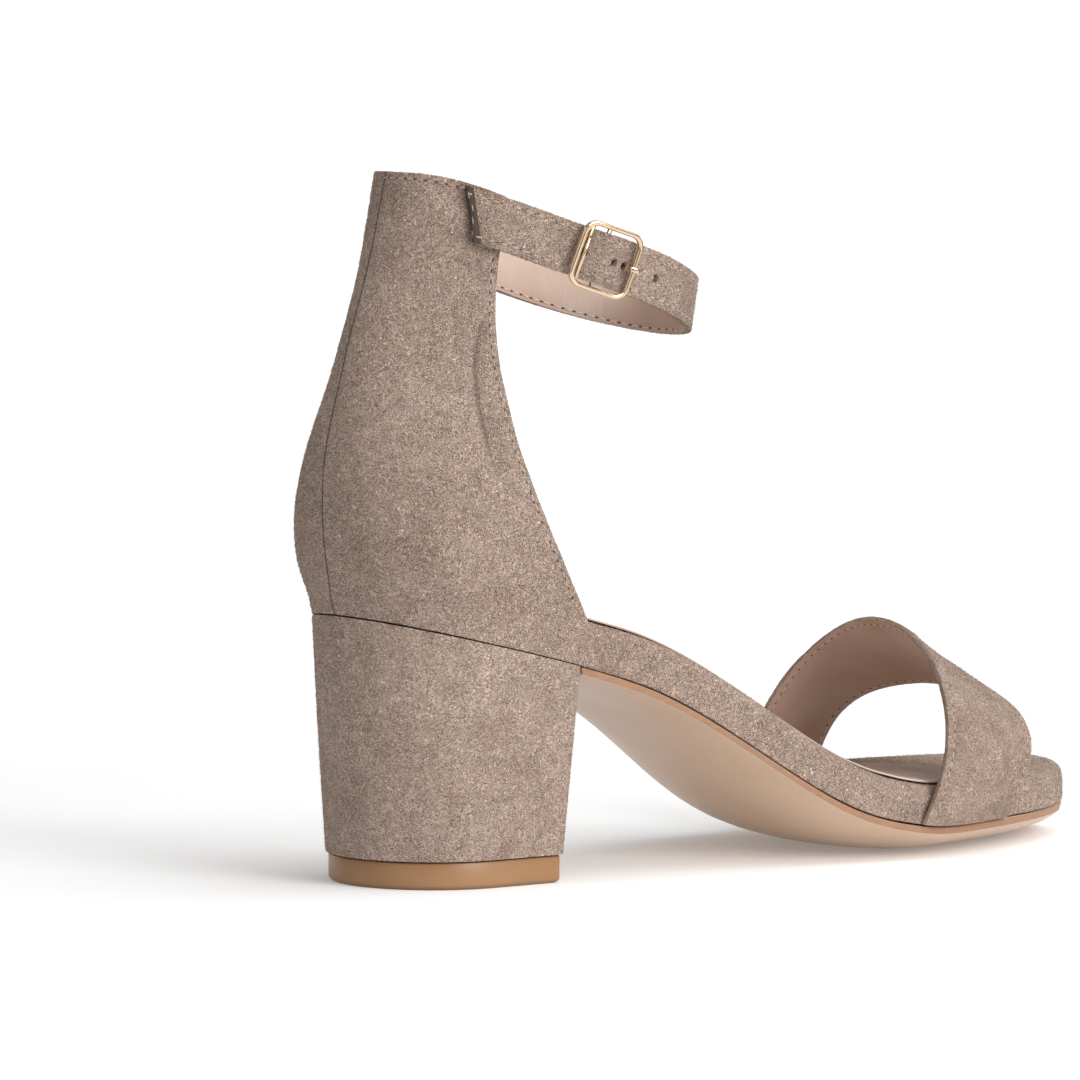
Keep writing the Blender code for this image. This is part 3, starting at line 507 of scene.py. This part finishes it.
def thread(name, colour):
    """Twisted sewing thread, with painted shade between its plies."""
    yarn = Recipe(name, Roughness=0.75, Sheen_Weight=0.2)
    where = yarn.place((1.0, 1.0, 1.0), (0.6, 0.4, 0.2))
    plies = yarn.clouds(where, 3000.0, 2.0, 0.5)
    shade = tuple(part * 0.7 for part in colour[:3]) + (1.0,)
    return yarn.feed(Base_Color=yarn.blend(plies.ramp(0.4, 0.7), shade, colour))


suede_thread = thread("suede_thread", THREAD)
lining_thread = thread("lining_thread", LINING_THREAD)
# Painted shade: a flat dark disc laid on the surface at each needle hole between stitches.
needle_hole_shade = thread("needle_hole_shade", THREAD_SHADOW)


def hem_lines(shape, on_side, inset, lowest=0.0):
    """Lines along a piece's sharp edges above a height, inset on the faces that on_side picks."""
    steps = {}
    for edge in sharp_edges(shape, 50.0):
        sides = [face for face in edge.link_faces if on_side(face)]
        middle = (edge.verts[0].co + edge.verts[1].co) / 2
        if len(sides) != 1 or middle.z <= lowest:
            continue
        face = sides[0]
        along = (edge.verts[1].co - edge.verts[0].co).normalized()
        inward = face.normal.cross(along)
        if inward.dot(face.calc_center_median() - middle) < 0:
            inward.negate()
        for here, there in (edge.verts, reversed(edge.verts)):
            steps.setdefault(here, []).append((there, inward, face.normal.copy()))
    tree = BVHTree.FromBMesh(shape)
    lines = []
    seen = set()
    for start in sorted(steps, key=lambda v: (len(steps[v]), v.index)):
        if start in seen:
            continue
        here = start
        line = []
        while here is not None:
            seen.add(here)
            inward = sum((step[1] for step in steps[here]), Vector()).normalized()
            normal = sum((step[2] for step in steps[here]), Vector()).normalized()
            target = here.co + inward * inset
            near = tree.find_nearest(target + normal * 0.0002)
            line.append((near[0], normal))
            here = next((step[0] for step in steps[here] if step[0] not in seen), None)
        if len(line) > 3:
            lines.append(line)
    return lines


def evenly(line, pitch):
    """Stations along a line: place, direction and the face's outward direction."""
    reach = [0.0]
    for (a, _), (b, _) in zip(line, line[1:]):
        reach.append(reach[-1] + (b - a).length)
    count = max(int(reach[-1] / pitch), 2)
    stations = []
    i = 0
    for step in range(count):
        at = reach[-1] * (step + 0.5) / count
        while i < len(line) - 2 and reach[i + 1] < at:
            i += 1
        share = (at - reach[i]) / max(reach[i + 1] - reach[i], 1e-9)
        place = line[i][0].lerp(line[i + 1][0], share)
        ahead = (line[i + 1][0] - line[i][0]).normalized()
        outward = line[i][1].lerp(line[i + 1][1], share).normalized()
        stations.append((place, ahead, outward))
    return stations


def sew(
    name,
    lines,
    ground,
    finish,
    node,
    pitch=0.0026,
    length=0.0019,
    thick=0.00048,
    rise=0.00014,
    hole=0.0007,
):
    """One row of stitches along each line, short rounded threads with a dark disc of painted shade at the
    needle hole between.
    """
    forms = []
    for number in range(2):
        form = bmesh.new()
        bmesh.ops.create_uvsphere(form, u_segments=8, v_segments=5, radius=1.0)
        for face in form.faces:
            face.material_index = number
        forms.append(form)
    # The second form is the flat dark disc of painted shade at the needle hole.
    kinds = ((forms[0], 0.0, length, thick, rise), (forms[1], 0.5, hole, hole * 0.5, HOLE_RISE))
    bead = bpy.data.meshes.new("bead")
    row = bmesh.new()
    for line in lines:
        for place, ahead, outward in evenly(line, pitch):
            side = outward.cross(ahead).normalized()
            for form, shift, long, wide, proud in kinds:
                over = place + ahead * pitch * shift + outward * NEEDLE_REACH
                spot = ground.ray_cast(over, -outward, NEEDLE_REACH * 2)[0]
                if spot is None:
                    continue
                turn = Matrix((ahead * long / 2, side * wide / 2, outward * proud)).transposed()
                form.to_mesh(bead)
                bead.transform(Matrix.Translation(spot) @ turn.to_4x4())
                row.from_mesh(bead)
    bpy.data.meshes.remove(bead)
    for form in forms:
        form.free()
    bmesh.ops.recalc_face_normals(row, faces=row.faces)
    return show(name, row, [finish, needle_hole_shade], node, [])


def press(shape, lines, depth, width):
    """A soft trough along lines, as a tight thread or a fold draws the whole wall in."""
    stations = [station for line in lines for station in evenly(line, 0.0004)]
    tree = KDTree(len(stations))
    for index, station in enumerate(stations):
        tree.insert(station[0], index)
    tree.balance()
    for vert in shape.verts:
        _, index, gap = tree.find(vert.co)
        if gap < width:
            vert.co -= stations[index][2] * depth * (0.5 + 0.5 * math.cos(math.pi * gap / width))
    shape.normal_update()


def seam_and_fold_shade(cloth):
    """The dark centre-back seam line, and the shade in the fold beside the lateral throat."""
    across, along, up = cloth.axes(cloth.place())
    seam = (1.0 - across.size().ramp(0.00012, 0.00045)) * (1.0 - along.ramp(-0.009, -0.006)) * 0.85
    above = up - FOLD_LEVEL
    beside = (along - above * above * FOLD_BEND - FOLD_FRONT).size()
    reach = up.ramp(0.096, 0.108) * (1.0 - up.ramp(0.126, 0.140)) * across.ramp(0.010, 0.014)
    fold_shade = (1.0 - beside.ramp(0.0001, 0.0012)) * reach * 0.55
    return seam.bigger(fold_shade)


def facing(face, centre, stretch):
    """How far a face looks away from a centre: 1 is straight away from it, -1 straight to it."""
    middle = face.calc_center_median()
    spread = Vector([(part - start) * share for part, start, share in zip(middle, centre, stretch)])
    return face.normal.dot(spread.normalized())


def counter_outside(face):
    return facing(face, COUNTER_MIDDLE, LEVEL) > 0.35 and abs(face.normal.z) < 0.75


def counter_inside(face):
    return facing(face, COUNTER_MIDDLE, LEVEL) < -0.35 and abs(face.normal.z) < 0.75


def counter_napped(face):
    return face.material_index == 0 and face.normal.z > -0.8


counter_suede = suede("counter_suede", (0.15, 0.35, 0.0), seam_and_fold_shade, 1.08)
counter_lining = lining_leather("counter_lining", 0.1)
counter = take_shape("counter")
outer_hem = hem_lines(counter, counter_outside, COUNTER_HEM, COUNTER_FOOT)
inner_hem = hem_lines(counter, counter_inside, COUNTER_HEM, COUNTER_FOOT)
for face in counter.faces:
    face.material_index = int(counter_inside(face))
round_edges(counter, 0.0003)
counter = refine(counter, 2)
fold = [(Vector(place), Vector((1, 0, 0))) for place in FOLD]
press(counter, [fold], 0.0013, 0.0038)
press(counter, outer_hem, PULL_DEPTH, PULL_WIDTH)
roughen(counter, 0.00030, 0.010)
ground = BVHTree.FromBMesh(counter)
nap("counter_nap", counter, counter_napped, "counter", 26000, 3)
show("counter_upper", counter, [counter_suede, counter_lining], "counter", ["counter"])
sew("counter_stitches", outer_hem, ground, suede_thread, "counter", hole=0.0011)
sew("counter_inner_stitches", inner_hem, ground, lining_thread, "counter")

# Band over the toes: suede folded over a nude lining, sewn in two rows near its edges, with
# both feet lasted between the footbed and the outsole.

BAND_MIDDLE = (0.0, 0.150, 0.012)
BAND_STRETCH = (1.0, 0.4, 1.0)
BAND_FOOT = 0.0105


def band_outside(face):
    return facing(face, BAND_MIDDLE, BAND_STRETCH) > 0.45


def band_inside(face):
    return facing(face, BAND_MIDDLE, BAND_STRETCH) < -0.45


def band_napped(face):
    return face.material_index == 0 and face.calc_center_median().z > 0.008


band_suede = suede("band_suede", (0.5, 0.1, 0.4), contrast=0.6, lift=-0.08)
band_lining = lining_leather("band_lining", 0.45)
band = take_shape("vamp_band")
outer_hem = hem_lines(band, band_outside, 0.0019, BAND_FOOT)
inner_hem = hem_lines(band, band_inside, 0.0015, BAND_FOOT)
for face in band.faces:
    face.material_index = int(band_inside(face))
round_edges(band, 0.0003)
band = refine(band, 2)
press(band, outer_hem, PULL_DEPTH, PULL_WIDTH)
roughen(band, 0.0003, 0.011)
ground = BVHTree.FromBMesh(band)
nap("band_nap", band, band_napped, "vamp_band", 5000, 4)
show("band_upper", band, [band_suede, band_lining], "vamp_band", ["vamp_band"])
sew("band_stitches", outer_hem, ground, suede_thread, "vamp_band", hole=0.0008)
sizes = {"pitch": 0.0027, "length": 0.0018, "thick": 0.0005, "rise": 0.0002, "hole": 0.0008}
sew("band_inner_stitches", inner_hem, ground, lining_thread, "vamp_band", **sizes)

# Ankle strap: a long suede strip lined with nude leather, sewn along both edges, cut square at
# its free end and punched with small holes. Its other end is sewn to the counter's inner side.

STRAP_MIDDLE = (0.0, 0.036, 0.0)
STRAP_CUT_END_AND_SHADE = (0.060, 0.042, 0.033, 1.0)
REAR_OUTER = 0.012
REAR_INNER = 0.016
END_LENGTH = 0.0018
END_DEPTH = 0.0007
END_REACH = 0.010
TUCK = 0.0011


def strap_outside(face):
    return facing(face, STRAP_MIDDLE, LEVEL) > 0.5


def strap_inside(face):
    return facing(face, STRAP_MIDDLE, LEVEL) < -0.5


def strap_napped(face):
    return face.material_index == 0


def rearmost(side, front):
    """The strap's faces on one side of the foot behind a line, and the one that looks most to the rear."""
    faces = []
    for face in strap.faces:
        middle = face.calc_center_median()
        if middle.x * side > 0 and middle.y < front:
            faces.append(face)
    return faces, min(faces, key=lambda face: face.normal.y)


def near_by(part, place, reach):
    verts = [part] if isinstance(part, bmesh.types.BMVert) else part.verts
    return all((vert.co - place).length < reach for vert in verts)


strap_suede = suede("strap_suede", (0.3, 0.8, 0.9))
strap_lining = lining_leather("strap_lining", 0.1)
# The cut end and the last strip of the strap's outer face at its free end are painted nearly black: partly
# the raw edge's own dark colour, partly painted shade where the end stands off the counter.
cut_end_and_shade = Recipe("strap_cut_edge", Roughness=0.85)
fibres = cut_end_and_shade.clouds(cut_end_and_shade.place(), 1500.0, 3.0, 0.6)
cut_end_and_shade.feed(
    Base_Color=cut_end_and_shade.blend(fibres.ramp(0.4, 0.7), STRAP_CUT_END_AND_SHADE, SUEDE_DARK),
    Normal=cut_end_and_shade.bump(fibres, 0.0002, 0.8),
)
pale_thread = thread("pale_thread", (0.480, 0.385, 0.315, 1.0))
strap = take_shape("ankle_strap")
_, free_end = rearmost(1, REAR_OUTER)
end_place = free_end.calc_center_median()
end_normal = free_end.normal.copy()
everything = strap.verts[:] + strap.edges[:] + strap.faces[:]
near_end = [part for part in everything if near_by(part, end_place, 0.012)]
cut_place = end_place - end_normal * END_LENGTH
bmesh.ops.bisect_plane(strap, geom=near_end, plane_co=cut_place, plane_no=end_normal)
strap.normal_update()
for face in strap.faces:
    middle = face.calc_center_median()
    inside = strap_inside(face)
    ends = abs(face.normal.y) > 0.8 and middle.y < REAR_OUTER
    from_end = middle - end_place
    past = from_end.dot(end_normal) > -END_LENGTH and from_end.length < END_REACH
    # Faces at the cut ends, and the outer face's last strip at the free end, take the dark cut-end finish
    # with its painted shade.
    face.material_index = 2 if ends or past and not inside else int(inside)
outer_hem = hem_lines(strap, strap_outside, 0.0016)
inner_hem = hem_lines(strap, strap_inside, 0.0010)
for vert in strap.verts:
    from_end = vert.co - end_place
    if abs(from_end.dot(end_normal)) < 0.0003 and from_end.length < END_REACH:
        outward = Vector((vert.co.x, vert.co.y - STRAP_MIDDLE[1], 0.0)).normalized()
        if from_end.dot(outward) > 0:
            vert.co -= outward * END_DEPTH
medial, sewn_end = rearmost(-1, REAR_INNER)
for vert in {vert for face in medial if face.normal.dot(sewn_end.normal) > 0.9 for vert in face.verts}:
    vert.co += sewn_end.normal * TUCK
round_edges(strap, 0.0002)
ground = BVHTree.FromBMesh(strap)
nap("strap_nap", strap, strap_napped, "ankle_strap", 8000, 5)
strap_finishes = [strap_suede, strap_lining, cut_end_and_shade.material]
show("ankle_strap_upper", strap, strap_finishes, "ankle_strap", ["ankle_strap"])
outer_rows = [line for line in outer_hem if len(line) > 30]
inner_rows = [line for line in inner_hem if len(line) > 30]
sew("strap_stitches", outer_rows, ground, pale_thread, "ankle_strap", 0.0031)
sizes = {"pitch": 0.0029, "length": 0.0019, "thick": 0.0006, "rise": 0.0002, "hole": 0.0011}
sew("strap_inner_stitches", inner_rows, ground, lining_thread, "ankle_strap", **sizes)

# Buckle strap: the short suede strip that is folded round the buckle's bar and sewn down to the
# outer throat edge, under the long strap.

keeper = take_shape("buckle_strap", join=False)
show("buckle_strap_fold", keeper, [strap_suede], "buckle_strap", ["buckle_strap"])

# Buckle frame: a rounded square of polished pale gilt wire with a centre bar and a thinner rear
# rod, cast in one and held by the buckle strap's fold.

GILT = (0.74, 0.55, 0.38, 1.0)
BUCKLE_AXES = Matrix(
    (
        (0.14308, 0.18381, 0.97249, 0.02656),
        (0.93986, 0.28269, -0.19171, 0.03311),
        (-0.31015, 0.94143, -0.13231, 0.15085),
        (0.0, 0.0, 0.0, 1.0),
    )
)
WIRE_LEVEL = 0.0031
WIRE_THICK = 0.0013
FRAME_LENGTH = 0.0171
FRAME_WIDTH = 0.0168
CORNER = 0.0036
BAR_RADIUS = 0.0006
ROD_RADIUS = 0.0005
ROD_INSET = 0.0024


def rounded_loop(shape, length, width, corner, level, ahead):
    """A closed loop of edges with four round corners."""
    loop = []
    for quarter in range(4):
        for step in range(9):
            turn = math.pi / 2 * (quarter + step / 8)
            x = (1 if quarter in (0, 3) else -1) * (length / 2 - corner) + corner * math.cos(turn)
            y = (1 if quarter < 2 else -1) * (width / 2 - corner) + corner * math.sin(turn)
            loop.append(shape.verts.new((x + ahead, y, level)))
    return [shape.edges.new((a, b)) for a, b in zip(loop, loop[1:] + loop[:1])]


gilt = Recipe("gilt_metal", Base_Color=GILT, Metallic=1.0)
polish = gilt.clouds(gilt.place(), 700.0, 2.0, 0.5)
gilt.feed(Roughness=polish * 0.06 + 0.06, Normal=gilt.bump(polish, 0.00001, 0.1))
buckle = bmesh.new()
bottom = WIRE_LEVEL - WIRE_THICK / 2
outer = rounded_loop(buckle, FRAME_LENGTH, FRAME_WIDTH, CORNER, bottom, 0.0)
inner = rounded_loop(buckle, FRAME_LENGTH - 0.0026, FRAME_WIDTH - 0.0024, CORNER - 0.0010, bottom, 0.0001)
bmesh.ops.bridge_loops(buckle, edges=outer + inner)
raised = bmesh.ops.extrude_face_region(buckle, geom=buckle.faces[:])
lifted = [part for part in raised["geom"] if isinstance(part, bmesh.types.BMVert)]
bmesh.ops.translate(buckle, verts=lifted, vec=(0.0, 0.0, WIRE_THICK))
bmesh.ops.recalc_face_normals(buckle, faces=buckle.faces)
round_edges(buckle, 0.00050, 5, 60.0)
bar = Matrix.Rotation(math.pi / 2, 4, "X")
rod = Matrix.Translation((ROD_INSET - FRAME_LENGTH / 2, 0.0, WIRE_LEVEL)) @ bar
for seat, radius in ((bar, BAR_RADIUS), (rod, ROD_RADIUS)):
    sizes = {"radius1": radius, "radius2": radius, "depth": FRAME_WIDTH - 0.0020}
    bmesh.ops.create_cone(buckle, cap_ends=True, segments=16, matrix=seat, **sizes)
buckle.transform(BUCKLE_AXES)
show("buckle_frame_cast", buckle, [gilt.material], "buckle_frame", ["buckle_frame"])

# Prong: a thin gilt pin, bent round the centre bar, that comes up through a hole of the strap
# and hooks over the front wire.

prong = take_shape("buckle_prong", join=False)
round_edges(prong, 0.00012)
show("buckle_prong_bent", prong, [gilt.material], "buckle_prong", ["buckle_prong"])

# Studio: a pale floor that fades into a white background, a wide soft light from the shoe's
# outer side, a broad one from overhead, and the camera at the photograph's angle.

FLOOR_WHITE = (0.80, 0.80, 0.80, 1.0)
FLOOR_GLOW = (1.0, 0.98, 0.96, 1.0)
FLOOR_NEAR = 0.25
FLOOR_FAR = 0.75
SHOE_MIDDLE = Vector((0.0, 0.07, 0.07))
KEY_PLACE = Vector((1.28, 0.22, 0.55))
OVERHEAD_AHEAD = Vector((-0.35, -0.35, -1.0))
CAMERA_PLACE = Vector((1.46278, -1.06733, 0.20916))
CAMERA_AHEAD = Vector((-0.79670, 0.60035, -0.06976))


def along_view(ahead):
    """The turn that points a lamp or a camera along a direction."""
    return ahead.to_track_quat("-Z", "Y").to_euler()


def lamp(name, kind, energy, ahead):
    light = bpy.data.lights.new(name, kind)
    light.energy = energy
    holder = bpy.data.objects.new(name, light)
    holder.rotation_euler = along_view(ahead)
    bpy.context.scene.collection.objects.link(holder)
    return holder


glow = {"Emission_Color": FLOOR_GLOW, "Emission_Strength": 0.16}
floor_paint = Recipe("floor_paint", Base_Color=FLOOR_WHITE, Roughness=0.6, Specular_IOR_Level=0.2, **glow)
floor_across, floor_along, _ = floor_paint.axes(floor_paint.place())
away = (floor_across * floor_across + floor_along * floor_along) ** 0.5
floor_paint.feed(Alpha=1.0 - away.ramp(FLOOR_NEAR, FLOOR_FAR))
floor_shape = bmesh.new()
bmesh.ops.create_grid(floor_shape, x_segments=1, y_segments=1, size=6.0)
floor_mesh = bpy.data.meshes.new("floor")
floor_shape.to_mesh(floor_mesh)
floor_shape.free()
floor_mesh.materials.append(floor_paint.material)
floor = bpy.data.objects.new("floor", floor_mesh)
bpy.context.scene.collection.objects.link(floor)

sky = bpy.data.worlds.new("studio")
sky.use_nodes = True
bpy.context.scene.world = sky
nodes = sky.node_tree.nodes
room = nodes["Background"]
backdrop = nodes.new("ShaderNodeBackground")
reflected = nodes.new("ShaderNodeBackground")
choose = nodes.new("ShaderNodeMixShader")
shiny = nodes.new("ShaderNodeMixShader")
seen = nodes.new("ShaderNodeLightPath")
direction = nodes.new("ShaderNodeTexCoord")
panels = nodes.new("ShaderNodeTexNoise")
contrast = nodes.new("ShaderNodeMapRange")
constants = (
    (room, {"Color": (1.0, 1.0, 1.0, 1.0), "Strength": 0.52}),
    (backdrop, {"Strength": 1.5}),
    (panels, {"Scale": 2.6, "Detail": 0.0}),
    (contrast, {"From Min": 0.50, "From Max": 0.60, "To Min": 0.02, "To Max": 1.4}),
)
for node, values in constants:
    for socket, value in values.items():
        node.inputs[socket].default_value = value
wires = (
    (direction.outputs["Generated"], panels.inputs["Vector"]),
    (panels.outputs["Fac"], contrast.inputs["Value"]),
    (contrast.outputs["Result"], reflected.inputs["Strength"]),
    (seen.outputs["Is Glossy Ray"], shiny.inputs["Fac"]),
    (room.outputs["Background"], shiny.inputs[1]),
    (reflected.outputs["Background"], shiny.inputs[2]),
    (seen.outputs["Is Camera Ray"], choose.inputs["Fac"]),
    (shiny.outputs["Shader"], choose.inputs[1]),
    (backdrop.outputs["Background"], choose.inputs[2]),
    (choose.outputs["Shader"], nodes["World Output"].inputs["Surface"]),
)
for start, end in wires:
    sky.node_tree.links.new(start, end)

overhead = lamp("overhead", "SUN", 1.6, OVERHEAD_AHEAD)
overhead.data.angle = math.radians(60.0)
key = lamp("key", "AREA", 14.5, SHOE_MIDDLE - KEY_PLACE)
key.location = KEY_PLACE
key.data.shape = "DISK"
key.data.size = 0.8

camera_data = bpy.data.cameras.new("photo_camera")
camera_data.lens = 250.0
camera_data.sensor_width = 36.0
camera = bpy.data.objects.new("photo_camera", camera_data)
camera.location = CAMERA_PLACE
camera.rotation_euler = along_view(CAMERA_AHEAD)
bpy.context.scene.collection.objects.link(camera)
bpy.context.scene.camera = camera
bpy.context.scene.view_settings.view_transform = "Standard"
